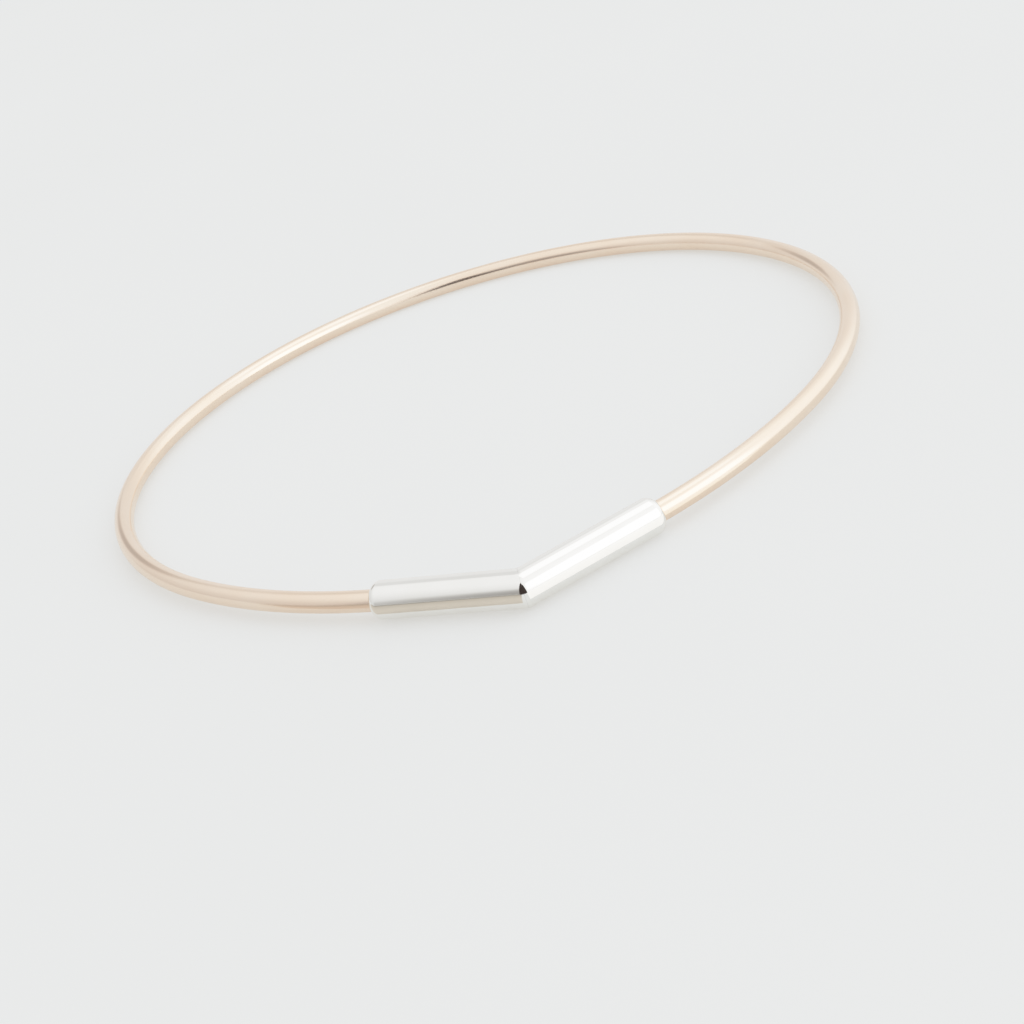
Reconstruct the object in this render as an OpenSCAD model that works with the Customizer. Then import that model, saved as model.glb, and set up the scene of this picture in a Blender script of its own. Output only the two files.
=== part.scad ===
// V-front slip-on bangle.
// One round wire is bent into an open hoop, and its two ends are bonded
// into the bores of two short tubes that are mitred and soldered into a V.
// The hoop lies in the XY plane and the V points along -Y. +Z is out of
// the hoop, and the origin is the centre of the hoop's circle.

/* [Hoop] */
// Diameter of the round wire
wire_d = 1.6; // [1.4:0.05:1.65]
// Radius of the hoop's circle, to the middle of the wire
hoop_r = 31; // [29:0.5:33]
// Angle at the hoop's centre, from the V's point to where the circle starts
circle_from = 51; // [46:1:56]

/* [V front] */
// Angle between the two legs, on the inside of the V
v_angle = 128.4; // [124:0.2:134]
// Length of each leg along its axis, from the V's point to its mouth
leg_len = 11.5; // [10.5:0.1:13]
// Outer diameter of the tube
tube_d = 2.8; // [2.6:0.05:3.2]
// Diameter of the tube's bore
bore_d = 1.7; // [1.7:0.05:1.9]
// Radius of the arc that rounds the tube's mouth
mouth_round = 0.75; // [0.65:0.05:1.2]

/* [Joints] */
// How far each end of the wire goes into its leg
wire_depth = 8; // [4:0.5:9]
// Length of the wire that already bends inside the mouth of its leg
bend_inside = 1; // [0.5:0.1:1.5]
// Height of the chamfer on each end of the wire
wire_chamfer = 0.25; // [0.1:0.05:0.5]
// Thickness of the solder film in the mitre
solder_t = 0.06; // [0.04:0.01:0.1]

/* [Hidden] */

CHAMPAGNE = "#dcc6ae";
SILVER = "#e2e4e6";
SOLDER = "#c9cbcc";
RESIN = "#d9c98f";

wire_r = wire_d / 2;
tube_r = tube_d / 2;
bore_r = bore_d / 2;

// A leg's slope away from the X axis
leg_slope = (180 - v_angle) / 2;
// Distance along a leg from the V's point to the tip of the wire, and to where it bends
wire_from = leg_len - wire_depth;
bend_from = leg_len - bend_inside;
end_len = bend_from - wire_from;
// The arc that is tangent to both the straight leg and the hoop's circle
blend_r = (hoop_r * sin(circle_from) - bend_from * cos(leg_slope)) / (sin(circle_from) - sin(leg_slope));
blend_shift = blend_r - hoop_r;
blend_turn = circle_from - leg_slope;
// Distance from the hoop's centre to the V's point
v_reach = bend_from * sin(leg_slope) + blend_r * cos(leg_slope) - blend_shift * cos(circle_from);
// Length of the rounded mouth along the tube
mouth_len = sqrt(pow(mouth_round, 2) - pow(bore_r - tube_r + mouth_round, 2));
// Room past the V's point for the mitre cut
mitre_over = tube_r;
cut_size = 4 * tube_d;

$fn = 96;

// Puts a shape that is drawn along +Z, from the V's point, along the right leg
module along_right_leg() {
    translate([0, -v_reach, 0])
        rotate([0, 90, leg_slope])
            children();
}

// Copies the right half of the bangle to the left
module to_left() {
    mirror([1, 0, 0])
        children();
}

// A stretch of round wire along an arc that starts on the X axis
module wire_arc(radius, turn) {
    rotate_extrude(angle = turn, $fn = 360)
        translate([radius, 0])
            circle(d = wire_d, $fn = 48);
}

// The straight end of the wire, drawn along +Z from the bend to its chamfered tip
module wire_end() {
    cylinder(h = end_len - wire_chamfer, r = wire_r);
    translate([0, 0, end_len - wire_chamfer])
        cylinder(h = wire_chamfer, r1 = wire_r, r2 = wire_r - wire_chamfer);
}

// Turns the X axis to where the circle starts on the right
module at_circle_start() {
    rotate([0, 0, circle_from - 90])
        children();
}

// The right front of the wire: the arc that leaves the circle, and the straight end
module wire_front() {
    at_circle_start()
        translate([-blend_shift, 0, 0])
            union() {
                wire_arc(blend_r, -blend_turn);
                rotate([0, 0, -blend_turn])
                    translate([blend_r, 0, 0])
                        rotate([90, 0, 0])
                            wire_end();
            }
}

module hoop_wire() {
    color(CHAMPAGNE)
        union() {
            at_circle_start()
                wire_arc(hoop_r, 360 - 2 * circle_from);
            wire_front();
            to_left()
                wire_front();
        }
}

// Half of the tube's section: a straight wall whose mouth is rounded down to the bore
module leg_section() {
    difference() {
        union() {
            translate([0, -mitre_over])
                square([tube_r, mitre_over + leg_len - mouth_len]);
            translate([tube_r - mouth_round, leg_len - mouth_len])
                circle(r = mouth_round);
        }
        translate([bore_r - cut_size, -cut_size])
            square([cut_size, 3 * cut_size]);
    }
}

// A tube along the right leg, cut at the mitre and leaving half of the solder film free
module right_tube() {
    difference() {
        along_right_leg()
            rotate_extrude()
                leg_section();
        translate([solder_t / 2 - cut_size, -v_reach - cut_size / 2, -cut_size / 2])
            cube(cut_size);
    }
}

module right_leg() {
    color(SILVER)
        right_tube();
}

module left_leg() {
    color(SILVER)
        to_left()
            right_tube();
}

// The right half of the solder film: the tube's wall between the middle and the mitre cut
module solder_half() {
    intersection() {
        along_right_leg()
            difference() {
                translate([0, 0, -mitre_over])
                    cylinder(h = 2 * mitre_over, r = tube_r);
                translate([0, 0, -2 * mitre_over])
                    cylinder(h = 4 * mitre_over, r = bore_r);
            }
        translate([0, -v_reach - cut_size / 2, -cut_size / 2])
            cube([solder_t / 2, cut_size, cut_size]);
    }
}

module mitre_solder() {
    color(SOLDER)
        union() {
            solder_half();
            to_left()
                solder_half();
        }
}

// The film of resin between the wire and the bore of the right leg
module bond_sleeve() {
    along_right_leg()
        translate([0, 0, wire_from + wire_chamfer])
            difference() {
                cylinder(h = end_len - wire_chamfer, r = bore_r);
                translate([0, 0, -wire_chamfer])
                    cylinder(h = wire_depth + wire_chamfer, r = wire_r);
            }
}

module right_bond() {
    color(RESIN)
        bond_sleeve();
}

module left_bond() {
    color(RESIN)
        to_left()
            bond_sleeve();
}

hoop_wire();
left_leg();
right_leg();
mitre_solder();
left_bond();
right_bond();
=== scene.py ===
# %% [markdown]
# # A V-front bangle in two finishes
#
# The bangle is a thin round wire in champagne gold whose two ends sit in a small polished
# silver V. The imported model gives the frame that every piece below is built to. This
# first step loads the frame.

# %% Load the frame
from math import acos, atan2, cos, degrees, hypot, pi, radians, sin

import bpy
from mathutils import Matrix, Vector


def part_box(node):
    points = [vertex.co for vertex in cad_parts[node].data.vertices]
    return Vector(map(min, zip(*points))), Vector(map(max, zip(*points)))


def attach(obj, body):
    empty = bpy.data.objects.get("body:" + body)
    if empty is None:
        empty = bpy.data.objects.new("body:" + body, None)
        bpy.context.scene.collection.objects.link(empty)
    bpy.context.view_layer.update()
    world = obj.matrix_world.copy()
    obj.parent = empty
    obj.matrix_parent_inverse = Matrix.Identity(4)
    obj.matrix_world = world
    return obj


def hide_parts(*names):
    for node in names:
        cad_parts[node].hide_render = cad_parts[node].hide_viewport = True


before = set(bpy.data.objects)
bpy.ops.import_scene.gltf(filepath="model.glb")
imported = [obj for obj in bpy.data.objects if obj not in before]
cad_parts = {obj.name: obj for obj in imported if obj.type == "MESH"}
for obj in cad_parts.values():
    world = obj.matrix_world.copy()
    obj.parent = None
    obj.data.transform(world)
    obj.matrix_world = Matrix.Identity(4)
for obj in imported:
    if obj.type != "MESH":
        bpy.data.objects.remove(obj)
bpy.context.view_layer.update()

print("frame nodes:", sorted(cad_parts))

# %% [markdown]
# ## Sizes
#
# Blender works in metres and a jeweller works in millimetres, so one function turns one
# into the other. The wire's and the tube's radius are read from the boxes of their nodes.
# The rest can't be read from a box, so it is repeated here from the part's source: the
# angle of the V, the length of its legs, the gap round the wire in the bore, how deep the
# wire goes in, where it starts to bend, and where the hoop's circle starts.

# %% Read the sizes of the wire, the hoop and the V
MM = 0.001


def mm(*values):
    """Millimetres as metres: one number, or a vector of three."""
    if len(values) == 1:
        return values[0] * MM
    return Vector(values) * MM


V_ANGLE = 128.4
LEG_SLOPE = radians((180 - V_ANGLE) / 2)
LEG_LEN = mm(11.5)
BORE_GAP = mm(0.05)
WIRE_DEPTH = mm(8)
BEND_INSIDE = mm(1)
CIRCLE_FROM = radians(51)

wire_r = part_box("hoop_wire")[1].z
hoop_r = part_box("hoop_wire")[1].x - wire_r
tube_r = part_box("right_leg")[1].z
bore_r = wire_r + BORE_GAP
film_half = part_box("mitre_solder")[1].x
v_reach = -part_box("mitre_solder")[0].y - tube_r / cos(LEG_SLOPE)

leg_dir = Vector((cos(LEG_SLOPE), sin(LEG_SLOPE), 0))
v_point = Vector((0, -v_reach, 0))
bend_from = LEG_LEN - BEND_INSIDE
wire_from = LEG_LEN - WIRE_DEPTH
print(f"wire {2 * wire_r / MM:.2f} mm, tube {2 * tube_r / MM:.2f} mm")
print(f"hoop radius {hoop_r / MM:.1f} mm")

# %% [markdown]
# The wire leaves its leg straight, bends through an arc that is flatter than the hoop, and
# joins the hoop's circle without a kink. A circle that touches both the straight end and
# the hoop's circle has only one possible radius, so it is worked out instead of measured.

# %% Work out the arc between a leg and the circle
blend_turn = CIRCLE_FROM - LEG_SLOPE
sine_step = sin(CIRCLE_FROM) - sin(LEG_SLOPE)
blend_r = (hoop_r * sin(CIRCLE_FROM) - bend_from * cos(LEG_SLOPE)) / sine_step
blend_shift = blend_r - hoop_r
blend_centre = Vector((-blend_shift * sin(CIRCLE_FROM), blend_shift * cos(CIRCLE_FROM), 0))
circle_turn = 2 * pi - 2 * CIRCLE_FROM
print(f"the arc beside each leg has a radius of {blend_r / MM:.2f} mm")
print(f"the arc turns by {degrees(blend_turn):.1f} degrees")

# %% [markdown]
# ## Small helpers
#
# Operators act on whatever is selected, so each piece starts from an empty selection.
# A few short functions keep that habit in one place.

# %% Helpers for selecting and finishing a mesh
def start_clean():
    """Leaves nothing selected and nothing in edit mode."""
    if bpy.context.mode != "OBJECT":
        bpy.ops.object.mode_set(mode="OBJECT")
    bpy.ops.object.select_all(action="DESELECT")


def select_only(piece):
    start_clean()
    piece.select_set(True)
    bpy.context.view_layer.objects.active = piece


def select_edges(piece, wanted):
    """Selects the edges whose two ends satisfy wanted(first, second)."""
    bpy.ops.object.mode_set(mode="OBJECT")
    for item in [*piece.data.vertices, *piece.data.edges, *piece.data.polygons]:
        item.select = False
    points = [v.co for v in piece.data.vertices]
    for edge in piece.data.edges:
        edge.select = wanted(points[edge.vertices[0]], points[edge.vertices[1]])
    bpy.ops.object.mode_set(mode="EDIT")


MERGE_WITHIN = mm(0.0005)


def finish_mesh(piece, sharp_angle=40):
    """Merges doubles, turns every face outwards, settles the place in the mesh and smooths."""
    select_only(piece)
    bpy.ops.object.mode_set(mode="EDIT")
    bpy.ops.mesh.select_all(action="SELECT")
    bpy.ops.mesh.remove_doubles(threshold=MERGE_WITHIN)
    bpy.ops.mesh.normals_make_consistent(inside=False)
    bpy.ops.object.mode_set(mode="OBJECT")
    bpy.ops.object.transform_apply(location=True, rotation=True, scale=True)
    bpy.ops.object.shade_smooth_by_angle(angle=radians(sharp_angle))
    open_edges = count_open_edges(piece)
    print(f"{piece.name}: {len(piece.data.polygons)} faces, {open_edges} open edges")
    return piece


def count_open_edges(piece):
    """Edges that don't have exactly two faces: a closed mesh has none."""
    uses = {}
    for face in piece.data.polygons:
        for key in face.edge_keys:
            uses[key] = uses.get(key, 0) + 1
    return sum(1 for n in uses.values() if n != 2)


# %% [markdown]
# ## The hoop wire
#
# On the real bangle this is one length of round wire, drawn through a die, bent round a
# mandrel and plated. A bevelled curve could make it, but following the bends with a ring
# of points is closer to what happens on the bench: the ring is extruded where the wire is
# straight and spun where it is bent. Each spin has the true centre of its arc.

# %% Wire: start with a ring of points at the tip in the right leg
WIRE_SIDES = 48
WIRE_CHAMFER = mm(0.25)

start_clean()
bpy.ops.mesh.primitive_circle_add(
    vertices=WIRE_SIDES,
    radius=wire_r - WIRE_CHAMFER,
    fill_type="NOTHING",
    location=v_point + leg_dir * wire_from,
    rotation=(0, pi / 2, LEG_SLOPE),
)
wire = bpy.context.object
wire.name = "hoop_wire_drawn"
bpy.ops.object.transform_apply(location=True, rotation=True, scale=True)
bpy.ops.object.mode_set(mode="EDIT")
bpy.ops.mesh.select_all(action="SELECT")

# %% Wire: chamfer the tip, then follow the leg, the flat arc and the circle
def extrude_by(step):
    bpy.ops.mesh.extrude_region_move(TRANSFORM_OT_translate={"value": step})


def spin_about(centre, turn, degrees_a_step=1.0):
    """Spins the selected ring anticlockwise about a vertical axis, a degree at a time."""
    steps = max(2, round(degrees(abs(turn)) / degrees_a_step))
    bpy.ops.mesh.spin(steps=steps, angle=-turn, center=centre, axis=(0, 0, 1))


def scale_ring(factor, centre):
    bpy.ops.transform.resize(value=(factor,) * 3, center_override=centre)


tip_scale = wire_r / (wire_r - WIRE_CHAMFER)
extrude_by(leg_dir * WIRE_CHAMFER)
scale_ring(tip_scale, v_point + leg_dir * (wire_from + WIRE_CHAMFER))
extrude_by(leg_dir * (bend_from - wire_from - WIRE_CHAMFER))
spin_about(blend_centre, blend_turn)
spin_about((0, 0, 0), circle_turn)

# %% [markdown]
# The left side mirrors the right: the same flat arc about the mirrored centre, the same
# straight end, and the same chamfer in reverse.

# %% Wire: come back into the left leg and close both tips
left_dir = Vector((-leg_dir.x, leg_dir.y, 0))
left_centre = Vector((-blend_centre.x, blend_centre.y, 0))
spin_about(left_centre, blend_turn)
extrude_by(-left_dir * (bend_from - wire_from - WIRE_CHAMFER))
extrude_by(-left_dir * WIRE_CHAMFER)
scale_ring(1 / tip_scale, v_point + left_dir * wire_from)
bpy.ops.mesh.select_all(action="SELECT")
bpy.ops.mesh.fill_holes(sides=0)
finish_mesh(wire)

# %% [markdown]
# Drawing and polishing leave marks that run along the wire. To paint them, the material
# needs to know where each point would be on the straight wire before it was bent: its
# place in the round section, and its distance along. That is stored as an attribute.

# %% Wire: store the unbent place of each point
def unbend(point):
    """The point's place on the straight wire: two coordinates in the section, one along."""
    side = 1 if point.x >= 0 else -1
    flat = Vector((abs(point.x), point.y, 0))
    turned = atan2(flat.x - blend_centre.x, -(flat.y - blend_centre.y))
    from_back = atan2(flat.x, -flat.y)
    circle_end = hoop_r * (pi - CIRCLE_FROM)
    if from_back >= CIRCLE_FROM:
        across = flat.length - hoop_r
        along = hoop_r * (pi - from_back)
    elif turned >= LEG_SLOPE:
        across = (flat - blend_centre).length - blend_r
        along = circle_end + blend_r * (CIRCLE_FROM - turned)
    else:
        down_leg = (flat - v_point).dot(leg_dir)
        across = -(flat - v_point).dot(Vector((-leg_dir.y, leg_dir.x, 0)))
        along = circle_end + blend_r * blend_turn + bend_from - down_leg
    return Vector((across, point.z, side * along))


unbent = wire.data.attributes.new("unbent", "FLOAT_VECTOR", "POINT")
for vertex in wire.data.vertices:
    unbent.data[vertex.index].vector = unbend(vertex.co)
half_length = max(item.vector.z for item in unbent.data)
print(f"the wire is {2 * half_length / MM:.0f} mm long before it is bent")

# %% [markdown]
# ## The silver V
#
# The real V is two lengths of thick tube, cut at an angle, soldered together at the cut
# and then buffed as one piece, which softens the ridge of the mitre. It is modelled in
# the same order: one leg is drawn as a ring that is extruded and scaled from the mitre to
# the mouth and back down the bore, the second mirrors it, and the ridge is bevelled while
# both are one mesh. Only then is it cut back into its real pieces.

# %% V: draw the right leg as a turned tube along Z
TUBE_SIDES = 128
MOUTH_ROUND = mm(0.75)
MOUTH_STEPS = 14
BORE_EDGE = mm(0.04)

mouth_centre = tube_r - MOUTH_ROUND
mouth_end = acos((bore_r + BORE_EDGE - mouth_centre) / MOUTH_ROUND)
mouth_len = MOUTH_ROUND * sin(acos((bore_r - mouth_centre) / MOUTH_ROUND))
past_mitre = -1.5 * tube_r


def mouth_profile():
    """Radius and height of each ring of the rounded mouth, from the wall in to the bore."""
    rings = []
    for i in range(MOUTH_STEPS + 1):
        a = mouth_end * i / MOUTH_STEPS
        height = LEG_LEN - mouth_len + MOUTH_ROUND * sin(a)
        rings.append((mouth_centre + MOUTH_ROUND * cos(a), height))
    top = rings[-1][1]
    rings.append((bore_r + 0.3 * BORE_EDGE, top - 0.3 * BORE_EDGE))
    rings.append((bore_r, top - BORE_EDGE))
    return rings


def turned_piece(name, profile, sides):
    """A ring of points extruded and scaled from one (radius, height) to the next, along Z."""
    start_clean()
    radius, height = profile[0]
    bpy.ops.mesh.primitive_circle_add(
        vertices=sides, radius=radius, fill_type="NOTHING", location=(0, 0, height)
    )
    piece = bpy.context.object
    piece.name = name
    bpy.ops.object.transform_apply(location=True, rotation=True, scale=True)
    bpy.ops.object.mode_set(mode="EDIT")
    bpy.ops.mesh.select_all(action="SELECT")
    for next_radius, next_height in profile[1:]:
        extrude_by((0, 0, next_height - height))
        if abs(next_radius - radius) > 1e-9:
            scale_ring(next_radius / radius, (0, 0, next_height))
        radius, height = next_radius, next_height
    bpy.ops.object.mode_set(mode="OBJECT")
    return piece


leg_profile = [(tube_r, past_mitre), *mouth_profile(), (bore_r, past_mitre)]
v_body = turned_piece("v_body", leg_profile, TUBE_SIDES)
print(f"the mouth of each leg is rounded over {mouth_len / MM:.2f} mm")

# %% [markdown]
# The tube is laid along the right leg, cut off flat at the middle plane, and mirrored.
# Where the two halves meet, their points coincide and are merged into one ridge.

# %% V: lay the tube along its leg, cut the mitre and mirror it
def lay_along_leg(piece):
    """Moves a piece that was drawn along Z to the right leg, and settles its mesh there."""
    select_only(piece)
    piece.rotation_euler = (0, pi / 2, LEG_SLOPE)
    piece.location = v_point
    bpy.ops.object.transform_apply(location=True, rotation=True, scale=True)


ON_PLANE = mm(0.00001)


def cut_away(piece, at_x, keep_right):
    """Cuts the mesh at a plane across X, and keeps one side."""
    select_only(piece)
    bpy.ops.object.mode_set(mode="EDIT")
    bpy.ops.mesh.select_all(action="SELECT")
    bpy.ops.mesh.bisect(
        plane_co=(at_x, 0, 0),
        plane_no=(1, 0, 0),
        clear_inner=keep_right,
        clear_outer=not keep_right,
        threshold=ON_PLANE,
    )
    bpy.ops.object.mode_set(mode="OBJECT")


def mirror_to_left(piece):
    """Adds the mirror image across the middle plane, and merges what meets there."""
    select_only(piece)
    mirror = piece.modifiers.new("to_left", "MIRROR")
    mirror.use_axis = (True, False, False)
    mirror.merge_threshold = mm(0.001)
    bpy.ops.object.modifier_apply(modifier=mirror.name)


lay_along_leg(v_body)
cut_away(v_body, 0, keep_right=True)
mirror_to_left(v_body)
print("the V has", len(v_body.data.vertices), "points before it is buffed")

# %% [markdown]
# Buffing takes off most where the ridge stands out, at the point of the V, and next to
# nothing on the inside, which a wheel can't reach. So the bevel of the ridge has a width
# that grows from the inside of the V to its point, set through the edges' bevel weights.

# %% V: buff the ridge of the mitre
BUFF_WIDTH = mm(0.36)
BUFF_SEGMENTS = 6
INSIDE_SHARE = 0.15


def ridge_weight(y):
    """From INSIDE_SHARE on the inside of the V to 1 at its point."""
    reach = tube_r / cos(LEG_SLOPE)
    towards_point = (-v_reach + reach - y) / (2 * reach)
    return INSIDE_SHARE + (1 - INSIDE_SHARE) * towards_point


def mark_ridge(piece):
    """Weights the outer edges of the mitre for the bevel, and counts them."""
    weights = piece.data.attributes.new("bevel_weight_edge", "FLOAT", "EDGE")
    points = [v.co for v in piece.data.vertices]
    marked = 0
    for edge in piece.data.edges:
        a, b = (points[i] for i in edge.vertices)
        middle = (a + b) / 2
        on_plane = abs(a.x) < 1e-7 and abs(b.x) < 1e-7
        off_axis = hypot((middle.y + v_reach) * cos(LEG_SLOPE), middle.z)
        if on_plane and off_axis > (tube_r + bore_r) / 2:
            weights.data[edge.index].value = ridge_weight(middle.y)
            marked += 1
    return marked


marked_edges = mark_ridge(v_body)
select_only(v_body)
bevel = v_body.modifiers.new("buffed_ridge", "BEVEL")
bevel.limit_method = "WEIGHT"
bevel.width = BUFF_WIDTH
bevel.segments = BUFF_SEGMENTS
bevel.use_clamp_overlap = False
bpy.ops.object.modifier_apply(modifier=bevel.name)
print("bevelled", marked_edges, "edges of the ridge")

# %% [markdown]
# Now the buffed V is cut into the pieces that it was made from: the two legs, and the
# film of solder between them. Each cut leaves an open rim outside and a second one at
# the bore, and a bridge between the two rims closes the piece with a flat ring.

# %% V: cut it back into two legs and a film of solder
def close_ring(piece, at_x):
    """Bridges the outer and the inner rim that a cut has left at one plane."""
    select_edges(piece, lambda a, b: abs(a.x - at_x) < 1e-8 and abs(b.x - at_x) < 1e-8)
    bpy.ops.mesh.bridge_edge_loops()
    bpy.ops.object.mode_set(mode="OBJECT")


def copy_of(piece, name):
    """A copy with its own mesh."""
    made = piece.copy()
    made.data = piece.data.copy()
    made.name = name
    bpy.context.scene.collection.objects.link(made)
    return made


right_leg = copy_of(v_body, "right_leg_polished")
cut_away(right_leg, film_half, keep_right=True)
close_ring(right_leg, film_half)
finish_mesh(right_leg)

left_leg = copy_of(v_body, "left_leg_polished")
cut_away(left_leg, -film_half, keep_right=False)
close_ring(left_leg, -film_half)
finish_mesh(left_leg)

film = copy_of(v_body, "mitre_solder_film")
cut_away(film, film_half, keep_right=False)
cut_away(film, -film_half, keep_right=True)
close_ring(film, film_half)
close_ring(film, -film_half)
finish_mesh(film)
bpy.data.objects.remove(v_body)

# %% [markdown]
# ## The resin in the legs
#
# The wire is 0.1 mm thinner than the bore, and a film of clear resin fills that gap. At
# the mouth the resin pulls back in a small hollow, the meniscus, as any liquid does
# between two walls. The film is turned as a thin sleeve: out along the bore, down across
# the meniscus and back along the wire.

# %% Bonds: turn one sleeve of resin and copy it to the left
MENISCUS_DEPTH = mm(0.12)
SKIN = mm(0.002)
sleeve_from = wire_from + WIRE_CHAMFER
sleeve_to = LEG_LEN - MOUTH_ROUND
sleeve_mid = (wire_r + bore_r) / 2
sleeve_profile = [
    (wire_r + SKIN, sleeve_from),
    (bore_r - SKIN, sleeve_from),
    (bore_r - SKIN, sleeve_to),
    (sleeve_mid, sleeve_to - MENISCUS_DEPTH),
    (wire_r + SKIN, sleeve_to),
    (wire_r + SKIN, sleeve_from),
]
right_bond = turned_piece("right_bond_resin", sleeve_profile, WIRE_SIDES)
lay_along_leg(right_bond)
left_bond = copy_of(right_bond, "left_bond_resin")
left_bond.data.transform(Matrix.Scale(-1, 4, (1, 0, 0)))
for sleeve in (right_bond, left_bond):
    finish_mesh(sleeve, sharp_angle=30)

# %% [markdown]
# ## Materials
#
# One function turns the hex colours of a paint chart into the linear values that Blender
# computes with. Another adds a node, sets its sockets and links it, so that each finish
# below reads as a short list of steps.

# %% Helpers for colours and nodes
def hex_colour(code):
    """An sRGB hex colour as linear red, green, blue and alpha."""
    parts = [int(code[i : i + 2], 16) / 255 for i in (1, 3, 5)]
    linear = [c / 12.92 if c <= 0.04045 else ((c + 0.055) / 1.055) ** 2.4 for c in parts]
    return (*linear, 1.0)


def add_node(tree, kind, settings=(), **sockets):
    """Adds a node. Settings are attributes; each socket gets a value or another node's output.

    Where sockets share a name, i with a number picks one by its place, counted from 0.
    """
    node = tree.nodes.new(kind)
    for key, value in dict(settings).items():
        setattr(node, key, value)
    for name, value in sockets.items():
        by_place = name[0] == "i" and name[1:].isdigit()
        socket = node.inputs[int(name[1:]) if by_place else name]
        if isinstance(value, bpy.types.NodeSocket):
            tree.links.new(value, socket)
        else:
            socket.default_value = value
    return node


def new_material(name):
    """An empty node material and its tree."""
    material = bpy.data.materials.new(name)
    material.use_nodes = True
    material.node_tree.nodes.clear()
    return material, material.node_tree


def set_ramp(node, stops):
    """Gives a colour ramp its stops: (position, colour) pairs."""
    ramp = node.color_ramp
    while len(ramp.elements) > len(stops):
        ramp.elements.remove(ramp.elements[-1])
    while len(ramp.elements) < len(stops):
        ramp.elements.new(1.0)
    for element, (position, colour) in zip(ramp.elements, stops):
        element.position = position
        element.color = colour


def give(piece, material):
    piece.data.materials.clear()
    piece.data.materials.append(material)


# %% [markdown]
# The finishes draw on the same three steps: a noise with its grain in millimetres, two
# tones that the noise mixes, and a number that it moves between two ends.

# %% Helpers for grain, tones and gloss
def grain(tree, place, size, detail, roughness):
    """Noise whose grain has this size in millimetres: one number, or one for each axis."""
    sizes = size if isinstance(size, tuple) else (size,) * 3
    scaled = add_node(
        tree, "ShaderNodeMapping", Vector=place, Scale=tuple(1 / mm(part) for part in sizes)
    )
    noise = add_node(
        tree,
        "ShaderNodeTexNoise",
        Vector=scaled.outputs["Vector"],
        Scale=1.0,
        Detail=detail,
        Roughness=roughness,
    )
    return noise.outputs["Fac"]


def two_tones(tree, share, dark, light):
    """A colour between two hex colours. Noise stays near its middle, so the ramp is short."""
    tone = add_node(tree, "ShaderNodeValToRGB", Fac=share)
    set_ramp(tone, [(0.3, hex_colour(dark)), (0.7, hex_colour(light))])
    return tone.outputs["Color"]


def number_from(tree, share, low, high):
    node = add_node(tree, "ShaderNodeMapRange", Value=share)
    node.inputs["To Min"].default_value = low
    node.inputs["To Max"].default_value = high
    return node.outputs["Result"]


def object_place(tree):
    return add_node(tree, "ShaderNodeTexCoord").outputs["Object"]


def principled(tree, colour, **sockets):
    """A Principled surface with this colour output, linked to the material's output."""
    surface = add_node(tree, "ShaderNodeBsdfPrincipled", **{"Base Color": colour}, **sockets)
    add_node(tree, "ShaderNodeOutputMaterial", Surface=surface.outputs["BSDF"])
    return surface


# %% [markdown]
# ### Champagne gold
#
# The wire is brass, drawn through a die and plated with a pale gold alloy. Plating keeps
# the fine draw marks of the wire beneath it, so the metal is satin: a lamp shows in it
# as a soft band and not as a sharp shape. The draw marks run along the wire and are about
# 0.01 mm apart on a real one, and are drawn 0.12 mm apart here so that they show.

# %% Champagne gold on drawn wire
def champagne_gold():
    material, tree = new_material("champagne_gold_on_drawn_wire")
    place = add_node(tree, "ShaderNodeAttribute", {"attribute_name": "unbent"}).outputs["Vector"]
    draw_marks = grain(tree, place, (0.12, 0.12, 14), 3.0, 0.6)
    patches = grain(tree, place, (2.5, 2.5, 6), 2.0, 0.5)
    bump = add_node(tree, "ShaderNodeBump", Height=draw_marks, Strength=0.25, Distance=mm(0.004))
    principled(
        tree,
        two_tones(tree, patches, "#f2decc", "#f4e3d3"),
        Roughness=number_from(tree, draw_marks, 0.16, 0.26),
        Metallic=1.0,
        Normal=bump.outputs["Normal"],
    )
    return material


gold = champagne_gold()
give(wire, gold)
print("material:", gold.name)

# %% [markdown]
# ### Polished silver
#
# The V is sterling silver, filed, sanded and buffed. A buffed surface is a mirror with a
# faint haze, and under the haze lie hairlines that the wheel and later wear have left.
# Real ones are a few thousandths of a millimetre wide, so they are drawn coarser here
# to show at all.

# %% Polished silver on the V
def polished_silver():
    material, tree = new_material("polished_sterling_silver")
    place = object_place(tree)
    wheel_marks = grain(tree, place, (0.15, 3, 2), 3.0, 0.55)
    haze = grain(tree, place, 2.2, 4.0, 0.6)
    bump = add_node(tree, "ShaderNodeBump", Height=wheel_marks, Strength=0.12, Distance=mm(0.003))
    principled(
        tree,
        two_tones(tree, haze, "#f3f2ee", "#f6f5f2"),
        Roughness=number_from(tree, haze, 0.06, 0.11),
        Metallic=1.0,
        Normal=bump.outputs["Normal"],
    )
    return material


silver = polished_silver()
for leg in (left_leg, right_leg):
    give(leg, silver)
print("material:", silver.name)

# %% [markdown]
# ### Silver solder
#
# Solder is silver with some zinc, so it is a trace greyer than the tube and takes a
# slightly duller polish. On the finished V it is only a hairline in the mitre.

# %% Silver solder in the mitre
def silver_solder():
    material, tree = new_material("buffed_silver_solder")
    crystals = grain(tree, object_place(tree), 0.3, 3.0, 0.6)
    principled(
        tree,
        two_tones(tree, crystals, "#e9e8e4", "#f1f0ed"),
        Roughness=number_from(tree, crystals, 0.1, 0.18),
        Metallic=1.0,
    )
    return material


solder = silver_solder()
give(film, solder)
print("material:", solder.name)

# %% [markdown]
# ### Bond resin
#
# A clear two-part resin, slightly amber once it has cured, with tiny trapped bubbles that
# make it cloudy in places. It is all but hidden, so an opaque amber that varies a little
# is enough, with the gloss of a smooth plastic.

# %% Cured resin in the legs
def cured_resin():
    material, tree = new_material("cured_amber_resin")
    clouds = grain(tree, object_place(tree), 0.6, 3.0, 0.6)
    principled(tree, two_tones(tree, clouds, "#cdb98a", "#ddcda4"), Roughness=0.2, IOR=1.55)
    return material


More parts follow.
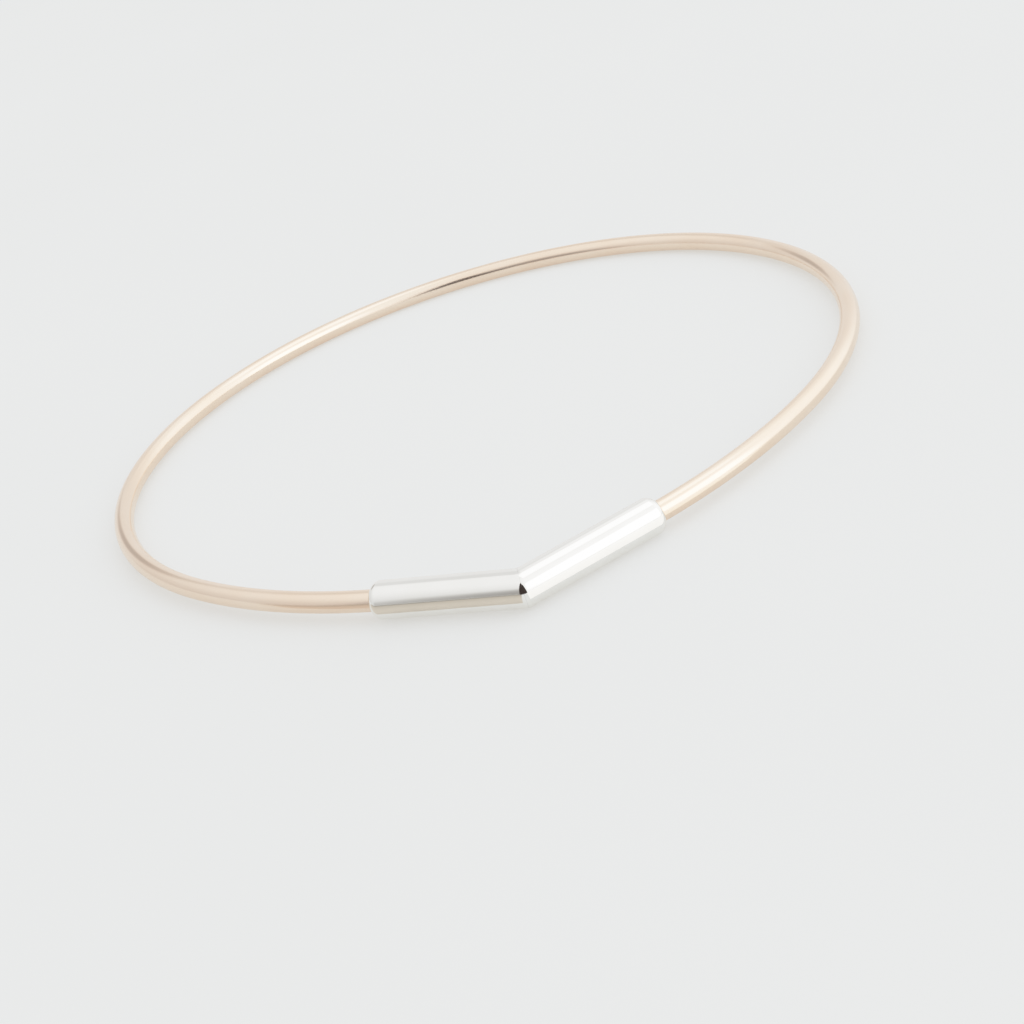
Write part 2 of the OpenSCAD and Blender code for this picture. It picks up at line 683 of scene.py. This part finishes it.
resin = cured_resin()
for sleeve in (left_bond, right_bond):
    give(sleeve, resin)
print("material:", resin.name)

# %% [markdown]
# ## Joining the pieces to the frame
#
# The bangle has no joint, so all of its pieces ride on the one body of the frame. Each
# new piece stands for one plain node, which is then hidden, and the plain node gets the
# same material as the piece.

# %% Ride and replace each piece, and give its plain node the same finish
JOINED = [
    (wire, "hoop_wire", "hoop_plating", gold),
    (left_leg, "left_leg", "v_silver", silver),
    (right_leg, "right_leg", "v_silver", silver),
    (film, "mitre_solder", "silver_solder", solder),
    (left_bond, "left_bond", "bond_resin", resin),
    (right_bond, "right_bond", "bond_resin", resin),
]
for piece, node, slot_name, finish in JOINED:
    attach(piece, "root")
    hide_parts(node)
    give(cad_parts[node], finish)
    print(f"{piece.name} stands for {node}")

# %% [markdown]
# ## The set
#
# The bangle lies on a matt, pale table. It touches it in three places, under the two
# legs and under the back of the wire, and because the legs are thicker than the wire it
# leans back by half a degree. Here the bangle stays level and the table leans instead.

# %% Table: a pale sheet that touches both legs and the back of the wire
TABLE_SIZE = 12.0
TABLE_SLACK = mm(0.01)
leg_touch = v_point + leg_dir * (LEG_LEN - mouth_len)
touch_run = hoop_r - leg_touch.y
table_lean = atan2(tube_r - wire_r, touch_run)

start_clean()
bpy.ops.mesh.primitive_plane_add(size=TABLE_SIZE)
table = bpy.context.object
table.name = "pale_table"
table.rotation_euler = (table_lean, 0, 0)
table.location = (0, hoop_r, -wire_r / cos(table_lean) - TABLE_SLACK)
print(f"the table leans by {degrees(table_lean):.2f} degrees")

# %% [markdown]
# The table is a sheet of opal acrylic that is lit a little from below, which keeps the
# undersides of shiny things light. It is pale and has no gloss, with a trace of
# unevenness so that it isn't a blank background. Its own light is a trace warm and its
# colour a trace cool, and together they make a neutral grey.

# %% Table: opal acrylic, lit from below
TABLE_TONES = ("#99a0a5", "#9ba2a7")
TABLE_LIGHT = "#fffaf3"
TABLE_GLOW = 0.5


def opal_acrylic():
    material, tree = new_material("opal_acrylic_lit_from_below")
    wash = grain(tree, object_place(tree), 60, 2.0, 0.5)
    acrylic = principled(tree, two_tones(tree, wash, *TABLE_TONES), Roughness=0.9)
    acrylic.inputs["Specular IOR Level"].default_value = 0.0
    acrylic.inputs["Emission Color"].default_value = hex_colour(TABLE_LIGHT)
    acrylic.inputs["Emission Strength"].default_value = TABLE_GLOW
    return material


give(table, opal_acrylic())

# %% [markdown]
# ## Light
#
# Polished metal shows its surroundings more than its own colour, so the light is built as
# a tent round the bangle and not as a lamp pointed at it. The tent is painted on the
# world by direction: bright on the right, dimmer on the left and at the back. A few round
# spots are darker or lighter than the wall they are on, and the darkest one, low on the
# front left, draws the dark line along the left leg.

# %% World: helpers that paint by direction
TENT_WHITE = 1.4
TENT_STRENGTH = 1.07


def tent_grey(level, warmth=0.0):
    """A grey of the given brightness, where 1 is white, as a share of the brightest tent."""
    share = level / TENT_WHITE
    return (share * (1 + warmth), share, share * (1 - warmth), 1.0)


def towards(azimuth, elevation):
    """A direction: azimuth 0 is the front and 90 the right, in degrees."""
    a, e = radians(azimuth), radians(elevation)
    return Vector((cos(e) * sin(a), -cos(e) * cos(a), sin(e)))


def between(tree, value, start, end):
    """0 up to start and 1 from end on, with a soft slope between."""
    node = add_node(tree, "ShaderNodeMapRange", {"interpolation_type": "SMOOTHSTEP"}, Value=value)
    node.inputs["From Min"].default_value = start
    node.inputs["From Max"].default_value = end
    return node.outputs["Result"]


def blend_colours(tree, share, first, second):
    node = add_node(tree, "ShaderNodeMix", {"data_type": "RGBA"}, Factor=share, i6=first, i7=second)
    return node.outputs[2]


# %% World: the brightness of each wall by height, and the spots on the walls
LEFT_WALL = [(0.0, 0.66), (0.42, 0.76), (0.85, 0.94)]
RIGHT_WALL = [(0.0, 1.12), (0.5, 1.16), (0.9, 1.08)]
BACK_WALL = [(0.0, 0.82), (0.5, 0.8), (0.8, 0.86), (0.95, 0.98)]
# Azimuth, elevation, radius of the full spot, radius where it ends, brightness, warmth
TENT_SPOTS = [
    (-30, 0, 8, 38, 0.34, 0.04),
    (-151, 22, 5, 15, 0.47, 0.04),
    (-172, 44, 6, 18, 0.73, 0.0),
    (164, 42, 4, 15, 0.98, 0.0),
]


def painted_wall(tree, height, levels):
    """A wall whose brightness changes with the height of the direction, from 0 to 1."""
    wall = add_node(tree, "ShaderNodeValToRGB", Fac=height)
    set_ramp(wall, [(position, tent_grey(level)) for position, level in levels])
    return wall.outputs["Color"]


# %% World: a soft tent with a bright right wall and a dark front left corner
def light_tent():
    world = bpy.data.worlds.new("light_tent")
    bpy.context.scene.world = world
    world.use_nodes = True
    tree = world.node_tree
    tree.nodes.clear()
    direction = add_node(tree, "ShaderNodeTexCoord").outputs["Generated"]
    parts = add_node(tree, "ShaderNodeSeparateXYZ", Vector=direction)
    height = parts.outputs["Z"]
    rightness = between(tree, parts.outputs["X"], -0.3, 0.7)
    behind = between(tree, parts.outputs["Y"], 0.45, 0.98)
    left, right = painted_wall(tree, height, LEFT_WALL), painted_wall(tree, height, RIGHT_WALL)
    tent = blend_colours(tree, rightness, left, right)
    tent = blend_colours(tree, behind, tent, painted_wall(tree, height, BACK_WALL))
    for azimuth, elevation, inner, outer, level, warmth in TENT_SPOTS:
        spot = add_node(tree, "ShaderNodeVectorMath", {"operation": "DOT_PRODUCT"}, i0=direction)
        spot.inputs[1].default_value = towards(azimuth, elevation)
        near = between(tree, spot.outputs["Value"], cos(radians(outer)), cos(radians(inner)))
        tent = blend_colours(tree, near, tent, tent_grey(level, warmth))
    glow = add_node(tree, "ShaderNodeBackground", Color=tent, Strength=TENT_WHITE * TENT_STRENGTH)
    add_node(tree, "ShaderNodeOutputWorld", Surface=glow.outputs["Background"])


light_tent()

# %% [markdown]
# Two softboxes give the light a direction. One stands on the right, low enough to fill
# the side of the right leg, and one hangs overhead towards the back. The brightness of a
# softbox is its watts spread over its area, so the watts are worked out from how bright
# it should look.

# %% Softboxes
def softbox(name, azimuth, elevation, distance, size, glow):
    """A square area light that faces the V and adds this much to the brightness of the tent."""
    lamp = bpy.data.lights.new(name, "AREA")
    lamp.shape = "SQUARE"
    lamp.size = size
    lamp.energy = glow * pi * size**2
    holder = bpy.data.objects.new(name, lamp)
    bpy.context.scene.collection.objects.link(holder)
    holder.location = v_point + towards(azimuth, elevation) * distance
    holder.rotation_euler = (v_point - holder.location).to_track_quat("-Z", "Y").to_euler()
    print(f"{name}: {lamp.energy:.2f} W over {size * 1000:.0f} mm")
    return holder


softbox("right_softbox", 62, 24, mm(450), mm(330), 0.5)
softbox("overhead_softbox", 135, 66, mm(450), mm(230), 0.32)

# %% [markdown]
# ## Camera
#
# A 74 mm lens, about 15 cm from where it aims, looks down at 25 degrees and is rolled so
# that the wire climbs to the right. Film and good sensors compress the brightest tones
# instead of cutting them off, and a curve with a soft shoulder does the same here.

# %% Camera: close, low and rolled
CAMERA_PLACE = mm(5.537, -162.564, 64.108)
CAMERA_AIM = mm(0.44, -23.418, 0)
CAMERA_ROLL = radians(-18.205)
CAMERA_LENS = 74.04

camera_data = bpy.data.cameras.new("camera")
camera_data.sensor_width = 36
camera_data.lens = CAMERA_LENS
camera_data.clip_start = mm(5)
camera = bpy.data.objects.new("camera", camera_data)
bpy.context.scene.collection.objects.link(camera)
camera.location = CAMERA_PLACE
level_view = (CAMERA_AIM - CAMERA_PLACE).to_track_quat("-Z", "Y")
camera.rotation_euler = (level_view.to_matrix() @ Matrix.Rotation(CAMERA_ROLL, 3, "Z")).to_euler()
bpy.context.scene.camera = camera
print("camera", [round(c / MM, 1) for c in camera.location])

# %% Tones: a soft shoulder for the brightest ones
SHOULDER = [(0.4, 0.4), (0.8, 0.79), (1.0, 0.9), (1.2, 0.965)]
CURVE_END = 1.6

view = bpy.context.scene.view_settings
view.view_transform = "Standard"
view.use_curve_mapping = True
tone_curve = view.curve_mapping
tone_curve.clip_max_x = CURVE_END
tone_curve.use_clip = True
shoulder = tone_curve.curves[3]
shoulder.points[1].location = (CURVE_END, 1.0)
for light_in, light_out in SHOULDER:
    shoulder.points.new(light_in, light_out)
tone_curve.update()

# %% [markdown]
# ## Cards
#
# Polished metal shows its shape through what it reflects. In a studio, dark and white
# cards are placed round it for that. These three count only in reflections, so they can
# be close. The first stands in front, for the camera and the person behind it: the
# rounded ridge of the V picks it up as a dark triangle.

# %% Cards: a dark triangle in front
def only_reflected(card):
    """Hides a card from the camera and from the light, so that only metal shows it."""
    card.visible_camera = False
    card.visible_diffuse = False
    card.visible_shadow = False


# A circle of three points and radius 1 is a triangle 1.73 wide and 1.5 high
start_clean()
bpy.ops.mesh.primitive_circle_add(vertices=3, radius=1, fill_type="NGON")
dark_card = bpy.context.object
dark_card.name = "dark_card"
dark_card.scale = (mm(27.7), mm(51), 1)
dark_card.rotation_euler = (pi / 2, 0, 0)
dark_card.location = mm(-5.5, -68, 24.5)
only_reflected(dark_card)

dark_paint, dark_tree = new_material("dark_camera_front")
principled(dark_tree, hex_colour("#33241f"), Roughness=0.8)
give(dark_card, dark_paint)
print("the dark card is", round(1.5 * dark_card.scale.y / MM), "mm high")

# %% [markdown]
# The other two lie flat, one beside each leg and along it. The left one is warm grey and
# gets darker towards the front, for the underside of the left leg. The right one is white
# and lit from below like the table, and keeps the underside of the right leg bright.

# %% Cards: one beside each leg
CARD_ALONG = mm(56)
CARD_OUT = mm(70)
CARD_LIFT = mm(0.02)
WARM_TONES = [(0.0, "#dcd5cb"), (0.06, "#cbc4b9"), (0.12, "#c4bcb0"), (0.4, "#8f897f")]
WHITE_TONES = [(0.0, "#f2f0ec"), (0.5, "#f6f5f2")]


def card_paint(name, tones, glow):
    """Paint whose tone changes across a card of size 1, from its near edge outwards."""
    material, tree = new_material(name)
    parts = add_node(tree, "ShaderNodeSeparateXYZ", Vector=object_place(tree))
    outward = add_node(tree, "ShaderNodeMapRange", Value=parts.outputs["Y"])
    outward.inputs["From Min"].default_value = 0.5
    outward.inputs["From Max"].default_value = -0.5
    tone = add_node(tree, "ShaderNodeValToRGB", Fac=outward.outputs["Result"])
    set_ramp(tone, [(position, hex_colour(code)) for position, code in tones])
    paint = principled(tree, tone.outputs["Color"], Roughness=0.8)
    paint.inputs["Emission Color"].default_value = hex_colour("#ffffff")
    paint.inputs["Emission Strength"].default_value = glow
    return material


def flat_card(name, side, starts_at, tones, glow):
    """A card beside the left (-1) or right (1) leg, with tones from its near edge outwards."""
    start_clean()
    bpy.ops.mesh.primitive_plane_add(size=1)
    card = bpy.context.object
    card.name = name
    along = Vector((side * cos(LEG_SLOPE), sin(LEG_SLOPE), 0))
    outwards = Vector((side * sin(LEG_SLOPE), -cos(LEG_SLOPE), 0))
    card.scale = (CARD_ALONG, CARD_OUT - starts_at, 1)
    card.rotation_euler = (0, 0, side * LEG_SLOPE)
    card.location = v_point + along * CARD_ALONG / 2 + outwards * (starts_at + CARD_OUT) / 2
    card.location.z = -tube_r + CARD_LIFT
    only_reflected(card)
    give(card, card_paint(name + "_paint", tones, glow))
    print(f"{name} starts {starts_at / MM:.1f} mm from the middle of its leg")


flat_card("warm_grey_card", -1, mm(1.9), WARM_TONES, 0.0)
flat_card("white_card", 1, mm(2.4), WHITE_TONES, 0.25)
